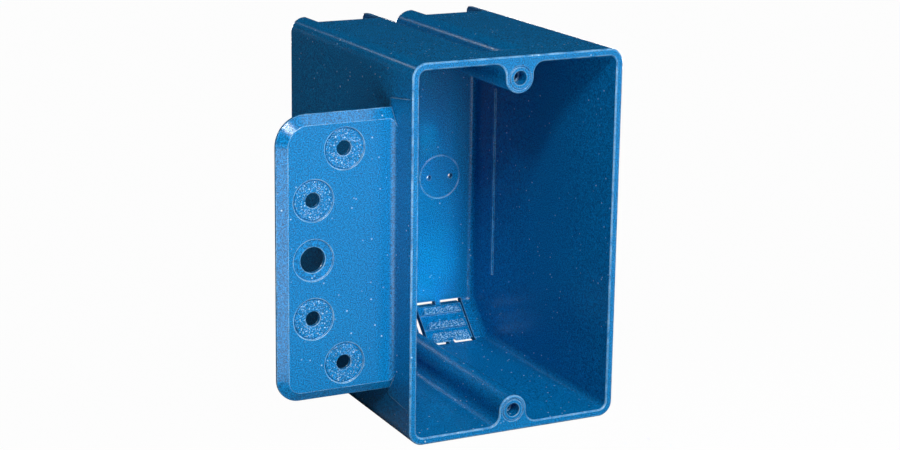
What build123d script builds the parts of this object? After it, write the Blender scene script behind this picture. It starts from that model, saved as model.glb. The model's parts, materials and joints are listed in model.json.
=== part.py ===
from build123d import *
import math
import os

# Single-gang moulded wall box with a nailing bracket on its left side, in one piece.
# Millimetres, +Z up. +X is to the right seen from the front, +Y runs from the rim to the back.
# The origin is in the plane of the front rim, midway between the two device screws.

# Box shell
SCREW_SPACING = 83.34     # device screws, centre to centre
RIM_MARGIN = 5.4          # device screw to the outside of the rim
FACE_WIDTH = 56.8         # outside width at the rim
DEPTH = 75.0              # rim to back face
WALL = 1.8                # every wall, panel and flap
DRAFT = 0.35              # degrees on every wall, narrowing to the back
CORNER_RADIUS = 3.6       # outside, long edges
BACK_RADIUS = 1.5         # outside, round the back face
INSIDE_RADIUS = 2.0       # inside, long edges
FLOOR_RADIUS = 1.9        # inside, round the back wall and the corner panels
RIM_EDGE = 0.3            # small slope on both edges of the rim

# Screw bosses and the channels that run on behind them
CHANNEL_RADIUS = 1.95     # outside groove, round the screw
SHOULDER_RADIUS = 4.7     # outside groove, where it meets the wall
CHANNEL_START = 8.5       # rim to the front end of the groove
SCREW_DIA = 3.5           # hole at the rim
SCREW_ENTRY = 4.0         # depth of that hole
PILOT_DIA = 2.9           # hole from there to the groove
SEAT_DIA = 5.6            # fine ring round the hole, middle of its line
SEAT_LINE = 0.4           # width of that line
SEAT_DEPTH = 0.3

# Corner panels with the cable clamp flaps
CORNER_CUT = 10.4         # leg of the 45 degree cut across the back edges
POCKET_CLEAR = 0.25       # foot of the channel to the side of the corner pocket
EAR_WIDTH = 4.3           # side of the box to the other side of the pocket
FLAP_CENTRE = 15.4        # middle of the box to the middle of a flap
FLAP_WIDTH = 13.6
FLAP_HEAD = 0.71          # inside bend at the back wall to the upper end of a flap
FLAP_FOOT = 2.57          # free end of a flap to the outside of the wall below it
SIDE_SLOT = 0.5           # gap beside a flap, next to the side wall
TOP_SLOT = 1.18           # gap between a flap and the back wall
FOOT_SLOT = 1.25          # gap under the free end of a flap, along the slope
WEB_WIDTH = 1.6           # the web that holds a flap at each end
TOOTH_COUNT = 3
TOOTH_HEIGHT = 0.8
TOOTH_RAMP = 2.4          # length of a tooth up the slope
END_RAMP = 3.5            # length of the tooth at the free end
TOOTH_LAND = 0.5          # flat above the top tooth
TOOTH_NEAR = 0.2          # side of a flap to the end of a tooth, next to the channel
TOOTH_FAR = 1.0           # the same, next to the side wall
TOOTH_SKEW = 2.2          # the end near the channel slopes back by this
TOOTH_HIP = 45            # degrees, lean of that end
NOTCH_WIDTH = 2.4         # relief in the last tooth, over the web
NOTCH_LENGTH = 1.5

# Side bracket
BRACKET_SETBACK = 9.0     # rim to the front of the bracket
BRACKET_DEPTH = 2.4       # front of the bracket to its back
BRACKET_REACH = 30.0      # side of the box to the free edge
BRACKET_HEIGHT = 70.0
BRACKET_BEVEL = 2.4       # width of the sloped edge, seen from the front
BRACKET_LAND = 0.7        # straight part of the edge, behind the slope
BRACKET_HEAD = 7.4        # upper outside corner
BRACKET_FOOT = 5.6        # lower outside corner
BRACKET_SKIN = 1.7        # thickness over the hollow at the back
BRACKET_LIP = 2.8         # edge of the bracket to that hollow
ROOT_RADIUS = 1.4         # front of the bracket to the pad
NAIL_DIA = 3.75
INNER_COLUMN = 13.2       # side of the box to the first nail holes
INNER_ROW = 26.4          # those holes above and below the middle
OUTER_COLUMN = 21.2       # side of the box to the other holes
OUTER_ROW = 14.5
CENTRE_DIA = 6.4          # middle hole
RING_DIA = 10.3           # sunk ring round each hole
RING_DEPTH = 0.5

# Low pad on the side of the box, from the rim to the back of the bracket
PAD_FRONT = 3.5           # above and below the bracket, at the rim
PAD_BACK = 2.15           # the same at the back of the bracket
PAD_STAND = 0.35          # how far it stands out at the back of the bracket
PAD_SINK = 0.03           # how far it is still inside the wall at the rim

# Marks inside
RIB_BACK = 13.8           # back face to the stop rib on the right wall
RIB_LENGTH = 52.0
RIB_WIDTH = 0.8
RIB_STAND = 0.6
MARK_CENTRE = 15.6        # middle of the box to the round mark on the back wall
MARK_DIA = 12.0
MARK_LINE = 0.2
MARK_DEPTH = 0.08
WEEP_DIA = 1.3            # two small holes through the back wall, inside the mark
WEEP_SPACING = 6.5

# Sizes that follow
SLOPE = math.tan(math.radians(DRAFT))
FACE_HEIGHT = SCREW_SPACING + 2 * RIM_MARGIN
SIDE = -FACE_WIDTH / 2
BACK_INSIDE = DEPTH - WALL
CUT_OUTSIDE = DEPTH + FACE_HEIGHT / 2 - CORNER_CUT
CUT_INSIDE = CUT_OUTSIDE - WALL * math.sqrt(2)
FLAP_TOP = CUT_INSIDE - BACK_INSIDE + FLAP_HEAD
FLAP_END = FACE_HEIGHT / 2 - FLAP_FOOT
FLAP_LENGTH = (FLAP_END - FLAP_TOP) * math.sqrt(2)
POCKET_NEAR = CHANNEL_RADIUS + SHOULDER_RADIUS + POCKET_CLEAR
POCKET_FAR = FACE_WIDTH / 2 - EAR_WIDTH
BRACKET_BACK = BRACKET_SETBACK + BRACKET_DEPTH
PAD_SLOPE = (PAD_STAND + PAD_SINK) / (BRACKET_BACK - RIM_EDGE)
SPAN = 2 * (DEPTH + FACE_HEIGHT)
TINY = 1e-3


def narrowing(sketch, start, length):
    """Solid from an outline seen from the front, narrowing backwards from a depth behind the rim."""
    return Pos(0, start, 0) * Rot(-90, 0, 0) * extrude(sketch, length, taper=DRAFT)


def facing(depth):
    """Plane parallel to the rim, seen from the front, at a depth behind it."""
    return Plane.XZ.offset(-depth)


def bar(dia, x, z, start, length):
    """Round bar that runs backwards from a depth behind the rim."""
    return extrude(facing(start) * Pos(x, z) * Circle(dia / 2), -length)


def line_ring(dia, line, x, z, start, length):
    """Tube that runs backwards, given by the middle of its wall."""
    return bar(dia + line, x, z, start, length) - bar(dia - line, x, z, start, length)


def channelled(block, skin):
    """The block with both screw channels along its whole length, a skin away from the grooves."""
    half = CHANNEL_RADIUS + skin
    for side in (1, -1):
        screw = side * SCREW_SPACING / 2
        block -= bar(2 * half, 0, screw, -SPAN / 2, SPAN)
        block -= Pos(0, 0, screw + side * RIM_MARGIN) * Box(2 * half, SPAN, 2 * RIM_MARGIN)
    shoulders = [e for e in block.edges()
                 if e.length > DEPTH / 2 and abs(abs(e.center().X) - half) < TINY
                 and abs(e.center().Z) > SCREW_SPACING / 2 + CHANNEL_RADIUS]
    return fillet(shoulders, SHOULDER_RADIUS - skin)


def tapered_block(skin, radius, length):
    """Plain block a skin inside the outer faces, with its four long edges rounded."""
    face = Rectangle(FACE_WIDTH - 2 * skin, FACE_HEIGHT - 2 * skin)
    block = narrowing(face, 0, length)
    long_edges = [e for e in block.edges() if abs(e.center().Y - length / 2) < TINY]
    return fillet(long_edges, radius)


def outer_block():
    """Outside of the box as a solid block, with the grooves behind the screws."""
    plain = tapered_block(0, CORNER_RADIUS, DEPTH)
    front = Pos(0, CHANNEL_START - SPAN / 2, 0) * Box(SPAN, SPAN, SPAN)
    block = channelled(plain, 0) + (plain & front)
    back = [e for e in block.edges() if abs(e.center().Y - DEPTH) < TINY]
    return fillet(back, BACK_RADIUS)


def before_cut(reach):
    """Everything in front of the two 45 degree planes, top and bottom, that meet at a reach."""
    corners = [(reach, 0), (reach - SPAN, SPAN), (reach - SPAN, -SPAN)]
    return extrude(Plane.YZ * Polygon(*corners, align=None), SPAN, both=True)


def cavity(core):
    """Hollow of the box, ended by the back wall and the corner panels."""
    room = core & before_cut(CUT_INSIDE)
    room &= Pos(0, BACK_INSIDE - SPAN / 2, 0) * Box(SPAN, SPAN, SPAN)
    ends = [f for f in room.faces() if f.normal_at().Y > 0.5]
    edges = {e for f in ends for e in f.edges()}
    return fillet(list(edges), FLOOR_RADIUS)


def corner_pockets(core):
    """Space outside the corner panels, open at the back and through the top and bottom walls."""
    pockets = core
    for side in (1, -1):
        middle = side * (POCKET_NEAR + POCKET_FAR) / 2
        pockets += Pos(middle, 0, 0) * Box(POCKET_FAR - POCKET_NEAR, SPAN, SPAN)
    return pockets - before_cut(CUT_OUTSIDE)


def four_ways(piece):
    """A piece made at the bottom right, with its mirror images."""
    right = [piece, mirror(piece, Plane.XY)]
    return right + [mirror(p, Plane.YZ) for p in right]


def panel_plane():
    """Inside face of the bottom right panel: origin at the free end of the flap, y up the slope."""
    return Plane((FLAP_CENTRE, CUT_INSIDE - FLAP_END, -FLAP_END), x_dir=(1, 0, 0), z_dir=(0, -1, 1))


def through_back(left, right, low, high):
    """Block that runs from front to back, between two places across and two heights."""
    middle = Pos((left + right) / 2, (low + high) / 2)
    return extrude(Plane.XZ * middle * Rectangle(right - left, high - low), SPAN, both=True)


def flap_gap():
    """The gap round one flap, without the two webs that hold it."""
    near = FLAP_CENTRE - FLAP_WIDTH / 2
    far = FLAP_CENTRE + FLAP_WIDTH / 2
    gap = through_back(POCKET_NEAR, far + SIDE_SLOT, -SPAN / 2, TOP_SLOT - FLAP_TOP)
    gap -= through_back(near, far, -FLAP_END, -FLAP_TOP)
    gap -= through_back(FLAP_CENTRE - WEB_WIDTH / 2, FLAP_CENTRE + WEB_WIDTH / 2, -SPAN, SPAN)
    beyond = Pos(0, SPAN / 2 - FOOT_SLOT, 0) * Box(SPAN, SPAN, SPAN)
    return gap & panel_plane() * beyond


def flap_tooth(number):
    """One grip tooth: a ramp that rises down the slope and ends in a step."""
    pitch = (FLAP_LENGTH - TOOTH_LAND - TOOTH_RAMP + TOOTH_HEIGHT) / (TOOTH_COUNT - 1)
    foot = number * pitch - TOOTH_HEIGHT
    top = foot + (TOOTH_RAMP if number else END_RAMP)
    near = TOOTH_NEAR - FLAP_WIDTH / 2
    far = FLAP_WIDTH / 2 - TOOTH_FAR
    sunk = -WALL / 2
    ramp = Polygon((foot, sunk), (foot, TOOTH_HEIGHT), (top, 0), (top, sunk), align=None)
    tooth = extrude(Plane.YZ * ramp, FLAP_WIDTH, both=True)
    plan = Polygon((near, foot), (far, foot), (far, top), (near + TOOTH_SKEW, top), align=None)
    tooth &= extrude(plan, WALL, both=True)
    rise = top - foot
    lean = math.tan(math.radians(TOOTH_HIP)) * math.hypot(TOOTH_SKEW, rise)
    hip = Plane((near, foot, 0), x_dir=(TOOTH_SKEW, rise, 0), z_dir=(-rise, TOOTH_SKEW, lean))
    tooth -= hip * Box(SPAN, SPAN, SPAN, align=(Align.CENTER, Align.CENTER, Align.MIN))
    if number == 0:
        tooth -= Pos(0, foot, 0) * Box(NOTCH_WIDTH, 2 * NOTCH_LENGTH, 2 * TOOTH_HEIGHT,
                                       align=(Align.CENTER, Align.CENTER, Align.MIN))
    return panel_plane() * tooth & through_back(-SPAN, SPAN, -FLAP_END, SPAN)


def bracket_slab(start, length, taper=0):
    """Bracket outline with a thickness behind a depth; its right end lies inside the box."""
    outline = Rectangle(2 * BRACKET_REACH, BRACKET_HEIGHT)
    outline = fillet(outline.vertices().group_by(Axis.Y)[-1], BRACKET_HEAD)
    outline = fillet(outline.vertices().group_by(Axis.Y)[0], BRACKET_FOOT)
    return Pos(SIDE, start + length, 0) * Rot(90, 0, 0) * extrude(outline, length, taper=taper)


def bracket():
    """Bevelled plate, hollowed a little from behind, up to the middle of the box wall."""
    slope = BRACKET_DEPTH - BRACKET_LAND
    taper = math.degrees(math.atan(BRACKET_BEVEL / slope))
    plate = bracket_slab(BRACKET_SETBACK, slope, taper)
    plate += bracket_slab(BRACKET_SETBACK + slope, BRACKET_LAND)
    hollow = BRACKET_DEPTH - BRACKET_SKIN
    width = BRACKET_REACH - 2 * BRACKET_LIP
    dish = RectangleRounded(width, BRACKET_HEIGHT - 2 * BRACKET_LIP, BRACKET_FOOT - BRACKET_LIP)
    middle = SIDE - BRACKET_REACH / 2
    plate -= extrude(facing(BRACKET_BACK) * Pos(middle, 0) * dish, hollow)
    keep = Box(SPAN, SPAN, SPAN, align=(Align.MAX, Align.CENTER, Align.CENTER))
    return plate & Pos(SIDE + WALL / 2, 0, 0) * keep


def pad():
    """Low patch on the side wall that rises from the rim to the back of the bracket."""
    front = BRACKET_HEIGHT / 2 + PAD_FRONT
    back = BRACKET_HEIGHT / 2 + PAD_BACK
    near = [(RIM_EDGE, front), (RIM_EDGE, -front)]
    far = [(BRACKET_BACK, -back), (BRACKET_BACK, back)]
    patch = extrude(Plane.YZ * Polygon(*near, *far, align=None), SPAN, both=True)
    outside = [(SIDE + PAD_SINK, RIM_EDGE), (SIDE - PAD_STAND, BRACKET_BACK)]
    inside = [(SIDE + WALL / 2, BRACKET_BACK), (SIDE + WALL / 2, RIM_EDGE)]
    return patch & extrude(Polygon(*outside, *inside, align=None), SPAN, both=True)


def rounded_root(body):
    """The body with a round where the front of the bracket meets the pad."""
    stand = PAD_SLOPE * (BRACKET_SETBACK - RIM_EDGE) - PAD_SINK
    root = [e for e in body.edges()
            if abs(e.center().X - SIDE + stand) < TINY and abs(e.center().Y - BRACKET_SETBACK) < TINY]
    return fillet(root, ROOT_RADIUS)


def nail_places():
    """Middles of the four nail holes."""
    inner = [(SIDE - INNER_COLUMN, z) for z in (INNER_ROW, -INNER_ROW)]
    outer = [(SIDE - OUTER_COLUMN, z) for z in (OUTER_ROW, -OUTER_ROW)]
    return inner + outer


def bracket_holes():
    """Nail holes and the middle hole, each with its sunk ring."""
    holes = [(x, z, NAIL_DIA) for x, z in nail_places()]
    holes.append((SIDE - OUTER_COLUMN, 0, CENTRE_DIA))
    cuts = []
    for x, z, dia in holes:
        cuts.append(bar(dia, x, z, BRACKET_SETBACK - BRACKET_DEPTH, 3 * BRACKET_DEPTH))
        cuts.append(bar(RING_DIA, x, z, BRACKET_SETBACK - BRACKET_DEPTH, BRACKET_DEPTH + RING_DEPTH))
    return cuts


def screw_holes():
    """Device screw holes through the bosses into the channels, with the ring on the rim."""
    cuts = []
    for z in (SCREW_SPACING / 2, -SCREW_SPACING / 2):
        cuts.append(bar(SCREW_DIA, 0, z, -WALL, WALL + SCREW_ENTRY))
        cuts.append(bar(PILOT_DIA, 0, z, -WALL, 2 * WALL + CHANNEL_START))
        cuts.append(line_ring(SEAT_DIA, SEAT_LINE, 0, z, -WALL, WALL + SEAT_DEPTH))
    return cuts


def stop_rib():
    """Thin upright rib on the right wall."""
    depth = DEPTH - RIB_BACK
    wall = FACE_WIDTH / 2 - WALL - depth * SLOPE
    rib = Box(RIB_STAND + WALL / 2, RIB_WIDTH, RIB_LENGTH, align=(Align.MIN, Align.CENTER, Align.CENTER))
    return Pos(wall - RIB_STAND, depth, 0) * rib


def weep_holes():
    """Two small holes through the back wall, inside the round mark."""
    places = [MARK_CENTRE - WEEP_SPACING / 2, MARK_CENTRE + WEEP_SPACING / 2]
    return [bar(WEEP_DIA, x, 0, BACK_INSIDE - WALL, 3 * WALL) for x in places]


def eased_rim(body):
    """The body with both edges of its rim eased."""
    rim = [f for f in body.faces() if abs(f.center().Y) < TINY and f.area > FACE_WIDTH][0]
    loops = sorted(rim.wires(), key=lambda w: w.length)[-2:]
    return chamfer([e for w in loops for e in w.edges()], RIM_EDGE)


def wall_box():
    """The whole moulding."""
    core = channelled(tapered_block(WALL, INSIDE_RADIUS, DEPTH + WALL), WALL)
    body = outer_block() - cavity(core) - corner_pockets(core)
    body = eased_rim(body)
    for gap in four_ways(flap_gap()):
        body -= gap
    for number in range(TOOTH_COUNT):
        for tooth in four_ways(flap_tooth(number)):
            body += tooth
    body += pad()
    body += bracket()
    body = rounded_root(body)
    body += stop_rib()
    body -= bracket_holes()
    body -= screw_holes()
    body -= weep_holes()
    body -= line_ring(MARK_DIA, MARK_LINE, MARK_CENTRE, 0, BACK_INSIDE - WALL, WALL + MARK_DEPTH)
    return body


os.makedirs("parts", exist_ok=True)
box = wall_box()
export_step(box, "parts/wall_box.step")
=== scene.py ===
import json
import math

import bpy
from mathutils import Matrix, Vector


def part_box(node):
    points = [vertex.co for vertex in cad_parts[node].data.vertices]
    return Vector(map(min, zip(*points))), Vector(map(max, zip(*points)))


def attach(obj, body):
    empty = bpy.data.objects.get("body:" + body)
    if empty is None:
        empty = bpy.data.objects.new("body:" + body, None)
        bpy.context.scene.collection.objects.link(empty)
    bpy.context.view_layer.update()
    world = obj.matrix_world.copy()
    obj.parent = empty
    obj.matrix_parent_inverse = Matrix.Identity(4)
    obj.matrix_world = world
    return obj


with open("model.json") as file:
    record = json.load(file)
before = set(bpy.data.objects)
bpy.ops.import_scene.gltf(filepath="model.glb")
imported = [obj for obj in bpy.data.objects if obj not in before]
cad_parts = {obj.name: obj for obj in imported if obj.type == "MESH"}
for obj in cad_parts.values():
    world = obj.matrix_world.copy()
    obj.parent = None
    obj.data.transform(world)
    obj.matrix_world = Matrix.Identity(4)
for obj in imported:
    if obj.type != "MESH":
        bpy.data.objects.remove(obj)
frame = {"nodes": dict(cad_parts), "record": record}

# Looks of a moulded wall box: one blue PVC moulding with an open front, a nailing bracket on its
# left side and clamp flaps in its back corners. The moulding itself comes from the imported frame, in
# metres, and gets its finish here. The rough rings round the nail holes are modelled here.

bl_info = {
    "name": "Moulded Wall Box",
    "version": (1, 0, 0),
    "blender": (4, 5, 0),
    "location": "View3D > Sidebar > Wall Box",
    "description": "Finish, rough nail rings, lights and camera for a moulded wall box",
    "category": "Object",
}

MM = 0.001
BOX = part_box("wall_box")
MOUNTS = {m["name"]: m for m in frame["record"]["mounts"]}

# Places on the moulding, by depth behind the rim: the clamp flaps lie deeper than the first, and the
# rounding of the rim ends at the second. The ramps of the flaps' teeth look forwards by the third.
FLAP_DEPTH = 58 * MM
RIM_DEPTH = 0.32 * MM
RAMP_FORWARD = -0.49

# Sizes of what shows in the plastic, and its index of refraction.
PIGMENT_DRIFT = 25 * MM
GRIT_WIDTH = 0.4 * MM
RUB_WIDTH = 3 * MM
DUST_SPACING = 2 * MM
DUST_DRIFT = 15 * MM
GRAIN_HEIGHT = 0.06 * MM
PVC_IOR = 1.53

GRIT_SEED = 4

# The board under the box: its size, the gap below the box, where along Y it turns from pale to dark,
# and how bright the white is that the camera sees on it and how much of that covers the shadow.
BOARD_SIZE = 8
BOARD_GAP = 0.05 * MM
BOARD_TURNS = (-0.08, 0.06)
BOARD_WHITE = 1.02
BOARD_COVER = 0.96

SENSOR_WIDTH = 36
WHITE = (1.0, 1.0, 1.0, 1.0)

# Lamps in metres. Each has its place, its width and height, and the setting that holds its power.
# One without an aim points at the middle of the box. The two kickers share one setting.
MIDDLE = (0, 0.02, 0)
LAMPS = {
    "key": dict(place=(0.08, -1.66, 0.80), size=(0.28, 1.24), power="key_power"),
    "kicker_low": dict(
        place=(-0.50, -0.69, 0.54), size=(0.08, 0.08), power="kicker_power", share=0.5),
    "kicker_high": dict(
        place=(-0.38, -0.70, 0.66), size=(0.08, 0.08), power="kicker_power", share=0.5),
    "overhead": dict(place=(0.40, -0.49, 0.77), size=(0.5, 0.5), power="overhead_power"),
    "back": dict(place=(0.85, 0.40, 0.18), size=(0.5, 0.5), power="back_power"),
    "card": dict(
        place=(-0.24, -0.15, -0.045), aim=(-0.24, -0.15, 1), size=(0.3, 0.3), power="card_power"),
    "far_card": dict(
        place=(0.38, 0.70, -0.045), aim=(0.38, 0.70, 1), size=(0.5, 0.7), power="far_card_power"),
    "hair": dict(place=(-0.26, 0.85, 0.46), size=(0.05, 0.05), power="hair_power"),
    "rear": dict(place=(0.05, 1.0, 0.0), size=(0.3, 0.08), power="rear_power"),
    "inside": dict(
        place=(0.006, -0.587, 0.107), aim=(0.006, 0.0726, -0.009), size=(0.012, 0.06),
        power="inside_power", beam=math.radians(2.5)),
}


def linear(code):
    """Linear RGBA from an sRGB hex code."""
    parts = [int(code[i:i + 2], 16) / 255 for i in (1, 3, 5)]
    return tuple(
        p / 12.92 if p <= 0.04045 else ((p + 0.055) / 1.055) ** 2.4 for p in parts) + (1.0,)


class MouldingFinish(bpy.types.PropertyGroup):
    """Finish of the blue PVC moulding."""

    body: bpy.props.FloatVectorProperty(
        name="Body", description="Colour of the plastic", subtype="COLOR", size=4,
        min=0, max=1, default=linear("#0677B4"))
    deep: bpy.props.FloatVectorProperty(
        name="Deep", description="Darker drifts in the pigment", subtype="COLOR", size=4,
        min=0, max=1, default=linear("#046CA9"))
    # Paler colour for edges that are partly rubbed and partly a painted highlight, and for the
    # painted highlight and glints on the grit.
    edge: bpy.props.FloatVectorProperty(
        name="Edge", description="Paler plastic along rubbed edges and on grit", subtype="COLOR",
        size=4, min=0, max=1, default=linear("#A2D6F6"))
    # Colour of the dust specks, which on faces that look up also stand in as painted glints.
    fleck: bpy.props.FloatVectorProperty(
        name="Fleck", description="Dust and small scuffs", subtype="COLOR", size=4,
        min=0, max=1, default=linear("#BCE1F8"))
    roughness: bpy.props.FloatProperty(
        name="Roughness", description="Satin of the moulded surface", subtype="FACTOR",
        min=0, max=1, default=0.2)
    grain: bpy.props.FloatProperty(
        name="Grain", description="Width of the fine mould grain", unit="LENGTH",
        min=0.0001, default=0.3 * MM, precision=5)
    # Also the width over which edges are painted paler, partly as rubbing and partly as a painted
    # highlight.
    edge_width: bpy.props.FloatProperty(
        name="Edge width", description="Width of the rounded, rubbed edges", unit="LENGTH",
        min=0.0001, default=0.22 * MM, precision=5)


class RingSizes(bpy.types.PropertyGroup):
    """Rough rings round the four nail holes."""

    outer: bpy.props.FloatProperty(
        name="Outer diameter", description="Across a rough ring", unit="LENGTH",
        default=9.5 * MM, precision=5)
    inner: bpy.props.FloatProperty(
        name="Inner diameter", description="Clear hole in a rough ring", unit="LENGTH",
        default=4.0 * MM, precision=5)
    grit: bpy.props.FloatProperty(
        name="Grit", description="Spacing of the grit", unit="LENGTH",
        default=0.26 * MM, precision=5)
    height: bpy.props.FloatProperty(
        name="Height", description="How far the grit stands up", unit="LENGTH",
        default=0.16 * MM, precision=5)
    stand: bpy.props.FloatProperty(
        name="Stand", description="Floor of the sunk ring to the foot of the grit", unit="LENGTH",
        default=0.2 * MM, precision=5)
    root: bpy.props.FloatProperty(
        name="Root", description="How far a ring goes into the bracket", unit="LENGTH",
        default=0.1 * MM, precision=5)
    turn: bpy.props.FloatProperty(
        name="Turn", description="Each ring is turned by this from the one before",
        subtype="ANGLE", default=math.radians(77))


class StageSettings(bpy.types.PropertyGroup):
    """Floor, lights and camera."""

    floor: bpy.props.FloatVectorProperty(
        name="Floor", description="Colour of the floor in front of the box", subtype="COLOR",
        size=4, min=0, max=1, default=linear("#B4B6B8"))
    # Painted shade: the floor behind the box gets a dark colour, so the box reflects little light
    # from there.
    painted_floor_shade: bpy.props.FloatVectorProperty(
        name="Floor behind", description="Darker colour of the floor behind the box",
        subtype="COLOR", size=4, min=0, max=1, default=linear("#3C3E40"))
    key_power: bpy.props.FloatProperty(
        name="Key", description="Tall soft light in front", unit="POWER", default=31.0)
    kicker_power: bpy.props.FloatProperty(
        name="Kickers", description="Two small lights at the upper left in front", unit="POWER",
        default=3.2)
    overhead_power: bpy.props.FloatProperty(
        name="Overhead", description="Soft light above, in front and to the right", unit="POWER",
        default=1.25)
    card_power: bpy.props.FloatProperty(
        name="Card", description="Bright card on the floor at the left", unit="POWER", default=0.5)
    back_power: bpy.props.FloatProperty(
        name="Back", description="Soft light on the right side and the back", unit="POWER",
        default=3.0)
    far_card_power: bpy.props.FloatProperty(
        name="Far card", description="Bright card on the floor behind the box", unit="POWER",
        default=20.0)
    hair_power: bpy.props.FloatProperty(
        name="Hair", description="Very small light behind, for the upper left edge", unit="POWER",
        default=0.09)
    rear_power: bpy.props.FloatProperty(
        name="Rear", description="Low soft light behind, for the back", unit="POWER", default=2.6)
    inside_power: bpy.props.FloatProperty(
        name="Inside", description="Narrow light through the opening, for the back wall",
        unit="POWER", default=0.0033, precision=4)
    sky_front: bpy.props.FloatProperty(
        name="Sky in front", description="Even light from the front half", subtype="FACTOR",
        default=0.07)
    sky_back: bpy.props.FloatProperty(
        name="Sky behind", description="Even light from the back half", subtype="FACTOR",
        default=0.01)
    camera_place: bpy.props.FloatVectorProperty(
        name="Camera", description="Place of the camera", subtype="TRANSLATION", unit="LENGTH",
        default=(-244.30 * MM, -444.18 * MM, 138.54 * MM), precision=5)
    turn: bpy.props.FloatProperty(
        name="Turn", description="Camera to the left of straight on", subtype="ANGLE",
        default=math.radians(26.975))
    rise: bpy.props.FloatProperty(
        name="Rise", description="Camera looks down by this", subtype="ANGLE",
        default=math.radians(14.728))
    roll: bpy.props.FloatProperty(
        name="Roll", description="Camera turned about its view", subtype="ANGLE",
        default=math.radians(0.811))
    lens: bpy.props.FloatProperty(
        name="Lens", description="Focal length on a 36 mm wide sensor", unit="CAMERA",
        default=86.69)


def node(tree, kind, settings=None, **inputs):
    """Adds a node, sets its options, and sets or links its inputs by socket name, with _ for a space,
    or by socket number, as i0."""
    new = tree.nodes.new(kind)
    for name, value in (settings or {}).items():
        setattr(new, name, value)
    for name, value in inputs.items():
        key = int(name[1:]) if name[1:].isdigit() else name.replace("_", " ")
        if isinstance(value, bpy.types.NodeSocket):
            tree.links.new(value, new.inputs[key])
        else:
            new.inputs[key].default_value = value
    return new


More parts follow.
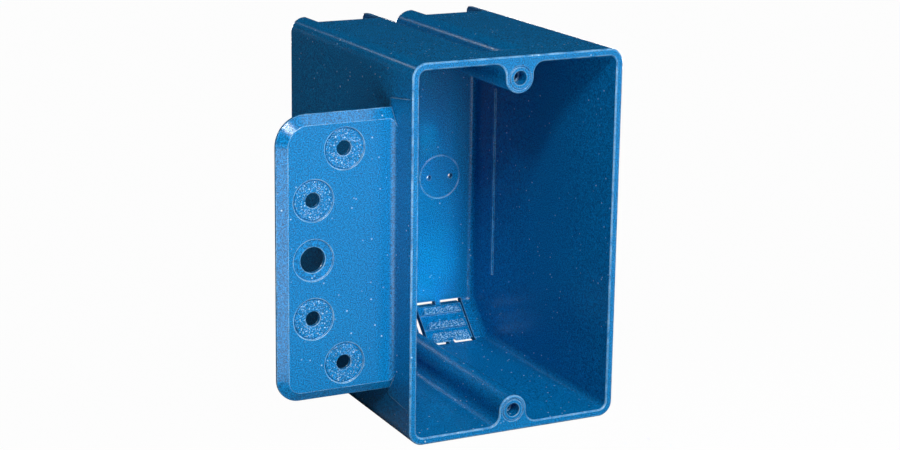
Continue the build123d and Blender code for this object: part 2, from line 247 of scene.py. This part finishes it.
def pvc_material(finish, name, rough=False):
    """Injection-moulded rigid PVC: satin from a fine mould grain, pigment that drifts a little, paler
    edges that are partly rubbed pale and partly a painted highlight, the sloped edges round the open
    front pale from trimming and from a painted highlight, and a scatter of pale specks. Dust makes
    those specks, and on faces that look up they also stand in as painted glints. On the grip faces of
    the clamp flaps the plastic is painted paler in a gritty pattern, as a painted highlight. A rough
    piece has that all over as painted glints, with fewer pale specks and no pale edges."""
    speck_from, speck_to = (0.6, 0.72) if rough else (0.48, 0.66)
    outer_wear, bend_wear = (0.0, 0.0) if rough else (0.7, 1.0)
    mat = bpy.data.materials.new(name)
    mat.use_nodes = True
    tree = mat.node_tree
    tree.nodes.clear()
    place = node(tree, "ShaderNodeTexCoord").outputs["Object"]
    at = node(tree, "ShaderNodeSeparateXYZ", Vector=place).outputs
    normal = node(tree, "ShaderNodeNewGeometry").outputs["Normal"]
    faces = node(tree, "ShaderNodeSeparateXYZ", Vector=normal).outputs

    # Pigment in wide drifts. The real grain is about 0.1 mm and is drawn coarser, to show.
    drift = node(tree, "ShaderNodeTexNoise", Vector=place, Scale=1 / PIGMENT_DRIFT, Detail=3.0)
    grain = node(tree, "ShaderNodeTexNoise", Vector=place, Scale=1 / finish.grain, Detail=1.5)
    pigment = node(tree, "ShaderNodeMix", {"data_type": "RGBA"}, Factor=drift.outputs["Fac"],
                   i6=tuple(finish.body), i7=tuple(finish.deep))
    tone = node(tree, "ShaderNodeMapRange", Value=grain.outputs["Fac"],
                From_Min=0.36, From_Max=0.64, To_Min=0.5, To_Max=1.5)
    body = node(tree, "ShaderNodeMix", {"data_type": "RGBA", "blend_type": "MULTIPLY"},
                Factor=1.0, i6=pigment.outputs[2], i7=tone.outputs["Result"])

    # Grip faces: the ramps of the teeth face forwards and steeply up or down, deep in the box. There
    # the colour is painted paler in a gritty pattern, as a painted highlight where these faces catch
    # the light; a rough piece gets the same all over as painted glints.
    deep = node(tree, "ShaderNodeMath", {"operation": "GREATER_THAN"}, i0=at["Y"], i1=FLAP_DEPTH)
    ramp = node(tree, "ShaderNodeMath", {"operation": "COMPARE"},
                i0=faces["Y"], i1=RAMP_FORWARD, i2=0.07)
    level = node(tree, "ShaderNodeMath", {"operation": "COMPARE"}, i0=faces["X"], i1=0.0, i2=0.1)
    ramps = node(tree, "ShaderNodeMath", {"operation": "MULTIPLY"},
                 i0=ramp.outputs["Value"], i1=level.outputs["Value"])
    grip = node(tree, "ShaderNodeMath", {"operation": "MULTIPLY"},
                i0=deep.outputs["Value"], i1=ramps.outputs["Value"])
    grit = node(tree, "ShaderNodeTexNoise", Vector=place, Scale=1 / GRIT_WIDTH, Detail=1.0)
    gritty = node(tree, "ShaderNodeMapRange", Value=grit.outputs["Fac"],
                  From_Min=speck_from, From_Max=speck_to, To_Min=0.0, To_Max=0.9)
    grit_highlight_here = node(tree, "ShaderNodeMath", {"operation": "MAXIMUM"},
                      i0=grip.outputs["Value"], i1=float(rough))
    grit_highlight = node(tree, "ShaderNodeMath", {"operation": "MULTIPLY"},
                     i0=grit_highlight_here.outputs["Value"], i1=gritty.outputs["Result"])
    grit_highlit = node(tree, "ShaderNodeMix", {"data_type": "RGBA"}, Factor=grit_highlight.outputs["Value"],
                   i6=body.outputs[2], i7=tuple(finish.edge))

    # Edges that stand out, and bends in the surface whether they stand out or sink in, are paler:
    # partly rubbed pale and partly a painted highlight, those deep in the box or level with the rim
    # less so. The sloped edges of the rim are pale from trimming and from a painted highlight.
    inner = node(tree, "ShaderNodeAmbientOcclusion",
                 {"inside": True, "only_local": True, "samples": 8}, Distance=finish.edge_width)
    rub = node(tree, "ShaderNodeTexNoise", Vector=place, Scale=1 / RUB_WIDTH, Detail=4.0)
    rubbed = node(tree, "ShaderNodeMapRange", Value=rub.outputs["Fac"],
                  From_Min=0.35, From_Max=0.65, To_Min=0.25, To_Max=1.0)
    outer = node(tree, "ShaderNodeMapRange", Value=inner.outputs["AO"],
                 From_Min=0.97, From_Max=0.65, To_Min=0.0, To_Max=outer_wear)
    rounded = node(tree, "ShaderNodeBevel", {"samples": 6}, Radius=finish.edge_width)
    turned = node(tree, "ShaderNodeVectorMath", {"operation": "DOT_PRODUCT"},
                  i0=rounded.outputs["Normal"], i1=normal)
    bent = node(tree, "ShaderNodeMapRange", Value=turned.outputs["Value"],
                From_Min=0.995, From_Max=0.96, To_Min=0.0, To_Max=bend_wear)
    bends = node(tree, "ShaderNodeMath", {"operation": "MAXIMUM"},
                 i0=outer.outputs["Result"], i1=bent.outputs["Result"])
    front = node(tree, "ShaderNodeMath", {"operation": "LESS_THAN"}, i0=at["Y"], i1=RIM_DEPTH)
    spared = node(tree, "ShaderNodeMath", {"operation": "MAXIMUM"},
                  i0=deep.outputs["Value"], i1=front.outputs["Value"])
    reach = node(tree, "ShaderNodeMapRange", Value=spared.outputs["Value"],
                 From_Min=0.0, From_Max=1.0, To_Min=1.0, To_Max=0.55)
    rub_and_highlight_amount = node(tree, "ShaderNodeMath", {"operation": "MULTIPLY"},
                i0=rubbed.outputs["Result"], i1=reach.outputs["Result"])
    worn_and_highlit = node(tree, "ShaderNodeMath", {"operation": "MULTIPLY"},
                i0=bends.outputs["Value"], i1=rub_and_highlight_amount.outputs["Value"])
    sloped = node(tree, "ShaderNodeMath", {"operation": "GREATER_THAN"}, i0=faces["Y"], i1=-0.9)
    trim_and_highlight_mask = node(tree, "ShaderNodeMath", {"operation": "MULTIPLY"},
                   i0=front.outputs["Value"], i1=sloped.outputs["Value"])
    bright = node(tree, "ShaderNodeMapRange", Value=rub.outputs["Fac"],
                  From_Min=0.35, From_Max=0.65, To_Min=0.02, To_Max=0.4)
    rim = node(tree, "ShaderNodeMath", {"operation": "MULTIPLY"},
               i0=trim_and_highlight_mask.outputs["Value"], i1=bright.outputs["Result"])
    wear_and_highlight = node(tree, "ShaderNodeMath", {"operation": "MAXIMUM"},
                i0=worn_and_highlit.outputs["Value"], i1=rim.outputs["Value"])
    edged = node(tree, "ShaderNodeMix", {"data_type": "RGBA"}, Factor=wear_and_highlight.outputs["Value"],
                 i6=grit_highlit.outputs[2], i7=tuple(finish.edge))

    # Dust about 0.3 mm across lies in wide drifts, most of it on faces that look up; on those faces
    # the pale specks also stand in as painted glints.
    cells = node(tree, "ShaderNodeTexVoronoi", Vector=place, Scale=1 / DUST_SPACING)
    small = node(tree, "ShaderNodeMapRange", Value=cells.outputs["Distance"],
                 From_Min=0.12, From_Max=0.07, To_Min=0.0, To_Max=1.0)
    drifts = node(tree, "ShaderNodeTexNoise", Vector=place, Scale=1 / DUST_DRIFT, Detail=2.0)
    settled = node(tree, "ShaderNodeMath", {"operation": "MULTIPLY_ADD"},
                   i0=faces["Z"], i1=0.09, i2=drifts.outputs["Fac"])
    many = node(tree, "ShaderNodeMapRange", Value=settled.outputs["Value"],
                From_Min=0.46, From_Max=0.62, To_Min=0.0, To_Max=0.8)
    dust_and_glints = node(tree, "ShaderNodeMath", {"operation": "MULTIPLY"},
                i0=small.outputs["Result"], i1=many.outputs["Result"])
    dusted_and_glinting = node(tree, "ShaderNodeMix", {"data_type": "RGBA"}, Factor=dust_and_glints.outputs["Value"],
                 i6=edged.outputs[2], i7=tuple(finish.fleck))

    # The satin varies a little with the rubbing, and the grain stands up a little.
    satin = node(tree, "ShaderNodeMapRange", Value=rub.outputs["Fac"],
                 From_Min=0.3, From_Max=0.7,
                 To_Min=finish.roughness - 0.04, To_Max=finish.roughness + 0.06)
    bump = node(tree, "ShaderNodeBump", Strength=0.2, Distance=GRAIN_HEIGHT,
                Height=grain.outputs["Fac"], Normal=rounded.outputs["Normal"])
    shader = node(tree, "ShaderNodeBsdfPrincipled", Base_Color=dusted_and_glinting.outputs[2],
                  Roughness=satin.outputs["Result"], IOR=PVC_IOR, Normal=bump.outputs["Normal"])
    node(tree, "ShaderNodeOutputMaterial", Surface=shader.outputs["BSDF"])
    return mat


def ring_centres():
    """Middles of the four nail holes on the floor of their sunk rings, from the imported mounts."""
    centres = []
    for name in ("bracket_nails_near", "bracket_nails_far"):
        mount = MOUNTS[name]
        half = mount["dims"]["spacing_y_mm"] * MM / 2
        centres += [Vector(mount["pos_m"]) + Vector((0, 0, z)) for z in (half, -half)]
    return centres


class WALLBOX_OT_moulding(bpy.types.Operator):
    """Give the moulding its PVC finish"""

    bl_idname = "wallbox.moulding"
    bl_label = "Finish Moulding"

    def execute(self, context):
        mat = pvc_material(context.scene.wall_box_finish, "moulded_blue_pvc")
        for slot in frame["nodes"]["wall_box"].material_slots:
            slot.material = mat
        return {"FINISHED"}


class WALLBOX_OT_nail_rings(bpy.types.Operator):
    """Model the rough rings round the nail holes"""

    bl_idname = "wallbox.nail_rings"
    bl_label = "Rough Nail Rings"

    def execute(self, context):
        ring = context.scene.wall_box_rings
        # The rings' material is painted with glints in a gritty pattern all over.
        mat = pvc_material(context.scene.wall_box_finish, "rough_blue_pvc", rough=True)
        centres = ring_centres()
        first = self.rough_ring(ring)
        first.data.materials.append(mat)
        pieces = [first] + [self.twin(context, first) for _ in centres[1:]]
        for number, (piece, centre) in enumerate(zip(pieces, centres)):
            turn = Matrix.Rotation(number * ring.turn, 4, "Y")
            piece.data.transform(Matrix.Translation(centre) @ turn)
            piece.name = f"nail_ring_{number + 1}"
            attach(piece, "root")
        return {"FINISHED"}

    def twin(self, context, first):
        """A copy with its own mesh."""
        piece = first.copy()
        piece.data = first.data.copy()
        context.scene.collection.objects.link(piece)
        return piece

    def rough_ring(self, ring):
        """A flat ring with grit on its front, closed behind, round the origin."""
        around = int(math.pi * (ring.outer + ring.inner) / 2 / ring.grit)
        band = (ring.outer - ring.inner) / 2
        bpy.ops.object.select_all(action="DESELECT")
        bpy.ops.mesh.primitive_circle_add(
            vertices=around, radius=ring.outer / 2, fill_type="NGON",
            location=(0, ring.root, 0), rotation=(math.pi / 2, 0, 0))
        piece = bpy.context.object
        bpy.ops.object.transform_apply(location=True, rotation=True, scale=True)
        bpy.ops.object.mode_set(mode="EDIT")
        bpy.ops.mesh.select_mode(type="EDGE")
        bpy.ops.mesh.select_all(action="SELECT")
        bpy.ops.mesh.inset(thickness=band, depth=0)
        bpy.ops.mesh.delete(type="FACE")
        self.pick_spokes(piece, band)
        bpy.ops.mesh.subdivide(number_cuts=int(band / ring.grit) - 1)
        bpy.ops.mesh.select_all(action="SELECT")
        forward = (0, -ring.root - ring.stand - ring.height / 2, 0)
        bpy.ops.mesh.extrude_region_move(TRANSFORM_OT_translate={"value": forward})
        bpy.ops.transform.vertex_random(
            offset=ring.height / 2, uniform=0, normal=1, seed=GRIT_SEED)
        bpy.ops.mesh.select_all(action="SELECT")
        bpy.ops.mesh.normals_make_consistent(inside=False)
        bpy.ops.object.mode_set(mode="OBJECT")
        return piece

    def pick_spokes(self, piece, band):
        """Select only the edges that run from the hole outwards."""
        bpy.ops.mesh.select_all(action="DESELECT")
        bpy.ops.object.mode_set(mode="OBJECT")
        ends = [v.co for v in piece.data.vertices]
        for edge in piece.data.edges:
            a, b = (Vector((ends[i].x, ends[i].z)).length for i in edge.vertices)
            edge.select = abs(a - b) > band / 2
        bpy.ops.object.mode_set(mode="EDIT")


def floor_material(stage):
    """Matt graduated board, pale in front and darker behind the box, where the darker colour is
    painted shade so that the box reflects little light from behind; shown near white to the camera
    with the soft shadow left on it."""
    mat = bpy.data.materials.new("graduated_board")
    mat.use_nodes = True
    tree = mat.node_tree
    tree.nodes.clear()
    place = node(tree, "ShaderNodeTexCoord").outputs["Object"]
    at = node(tree, "ShaderNodeSeparateXYZ", Vector=place).outputs
    # Painted shade: the board turns dark behind the box.
    behind = node(tree, "ShaderNodeMapRange", Value=at["Y"],
                  From_Min=BOARD_TURNS[0], From_Max=BOARD_TURNS[1], To_Min=0.0, To_Max=1.0)
    shade = node(tree, "ShaderNodeMix", {"data_type": "RGBA"}, Factor=behind.outputs["Result"],
                 i6=tuple(stage.floor), i7=tuple(stage.painted_floor_shade))
    matt = node(tree, "ShaderNodeBsdfDiffuse", Color=shade.outputs[2])
    white = node(tree, "ShaderNodeEmission", Color=WHITE, Strength=BOARD_WHITE)
    ray = node(tree, "ShaderNodeLightPath")
    shown = node(tree, "ShaderNodeMath", {"operation": "MULTIPLY"},
                 i0=ray.outputs["Is Camera Ray"], i1=BOARD_COVER)
    mixed = node(tree, "ShaderNodeMixShader", Fac=shown.outputs["Value"],
                 i1=matt.outputs["BSDF"], i2=white.outputs["Emission"])
    node(tree, "ShaderNodeOutputMaterial", Surface=mixed.outputs["Shader"])
    return mat


class WALLBOX_OT_stage(bpy.types.Operator):
    """Set the floor, the lights and the camera"""

    bl_idname = "wallbox.stage"
    bl_label = "Stage"

    def execute(self, context):
        stage = context.scene.wall_box_stage
        self.lay_floor(stage)
        self.light_sky(context, stage)
        for name, lamp in LAMPS.items():
            self.hang_lamp(context, stage, name, **lamp)
        self.place_camera(context, stage)
        context.scene.view_settings.view_transform = "Standard"
        return {"FINISHED"}

    def lay_floor(self, stage):
        """A wide flat board just under the box."""
        bpy.ops.object.select_all(action="DESELECT")
        bpy.ops.mesh.primitive_plane_add(size=BOARD_SIZE, location=(0, 0, BOX[0].z - BOARD_GAP))
        floor = bpy.context.object
        floor.name = "floor"
        floor.data.materials.append(floor_material(stage))

    def light_sky(self, context, stage):
        """Even weak light, most of it from the front, and a white background. Only the camera sees
        that white: the box has no metal or glass, and white in its satin would wash out the blue."""
        world = bpy.data.worlds.new("studio")
        world.use_nodes = True
        context.scene.world = world
        tree = world.node_tree
        tree.nodes.clear()
        way = node(tree, "ShaderNodeTexCoord").outputs["Generated"]
        side = node(tree, "ShaderNodeSeparateXYZ", Vector=way)
        even = node(tree, "ShaderNodeMapRange", Value=side.outputs["Y"],
                    From_Min=-0.5, From_Max=0.5, To_Min=stage.sky_front, To_Max=stage.sky_back)
        ray = node(tree, "ShaderNodeLightPath")
        level = node(tree, "ShaderNodeMath", {"operation": "MAXIMUM"},
                     i0=ray.outputs["Is Camera Ray"], i1=even.outputs["Result"])
        light = node(tree, "ShaderNodeBackground", Color=WHITE, Strength=level.outputs["Value"])
        node(tree, "ShaderNodeOutputWorld", Surface=light.outputs["Background"])

    def hang_lamp(self, context, stage, name, place, size, power,
                  aim=MIDDLE, share=1.0, beam=math.pi):
        """A soft flat lamp at a place, turned to what it lights, with the angle of its beam."""
        lamp = bpy.data.lights.new(name, "AREA")
        lamp.shape = "RECTANGLE"
        lamp.size, lamp.size_y = size
        lamp.energy = getattr(stage, power) * share
        lamp.spread = beam
        holder = bpy.data.objects.new(name, lamp)
        context.scene.collection.objects.link(holder)
        facing = (Vector(aim) - Vector(place)).to_track_quat("-Z", "Y").to_matrix().to_4x4()
        holder.matrix_world = Matrix.Translation(place) @ facing
        holder.visible_camera = False

    def place_camera(self, context, stage):
        """The camera of the photograph."""
        data = bpy.data.cameras.new("camera")
        data.sensor_width = SENSOR_WIDTH
        data.lens = stage.lens
        data.clip_start = 10 * MM
        camera = bpy.data.objects.new("camera", data)
        context.scene.collection.objects.link(camera)
        turned = Matrix.Rotation(-stage.turn, 4, "Z")
        tipped = Matrix.Rotation(math.pi / 2 - stage.rise, 4, "X")
        rolled = Matrix.Rotation(stage.roll, 4, "Z")
        camera.matrix_world = Matrix.Translation(stage.camera_place) @ turned @ tipped @ rolled
        context.scene.camera = camera


class VIEW3D_PT_wall_box(bpy.types.Panel):
    """Settings and steps of the wall box"""

    bl_label = "Wall Box"
    bl_space_type = "VIEW_3D"
    bl_region_type = "UI"
    bl_category = "Wall Box"

    def draw(self, context):
        for group, step in STEPS:
            box = self.layout.box()
            settings = getattr(context.scene, group)
            for name in settings.__annotations__:
                box.prop(settings, name)
            box.operator(step)


GROUPS = {
    "wall_box_finish": MouldingFinish,
    "wall_box_rings": RingSizes,
    "wall_box_stage": StageSettings,
}
STEPS = [
    ("wall_box_finish", "wallbox.moulding"),
    ("wall_box_rings", "wallbox.nail_rings"),
    ("wall_box_stage", "wallbox.stage"),
]
CLASSES = [
    *GROUPS.values(),
    WALLBOX_OT_moulding,
    WALLBOX_OT_nail_rings,
    WALLBOX_OT_stage,
    VIEW3D_PT_wall_box,
]


def register():
    for cls in CLASSES:
        bpy.utils.register_class(cls)
    for name, group in GROUPS.items():
        setattr(bpy.types.Scene, name, bpy.props.PointerProperty(type=group))


def unregister():
    for name in GROUPS:
        delattr(bpy.types.Scene, name)
    for cls in reversed(CLASSES):
        bpy.utils.unregister_class(cls)


def main():
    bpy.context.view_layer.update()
    register()
    bpy.ops.wallbox.moulding()
    bpy.ops.wallbox.nail_rings()
    bpy.ops.wallbox.stage()


if __name__ == "__main__":
    main()
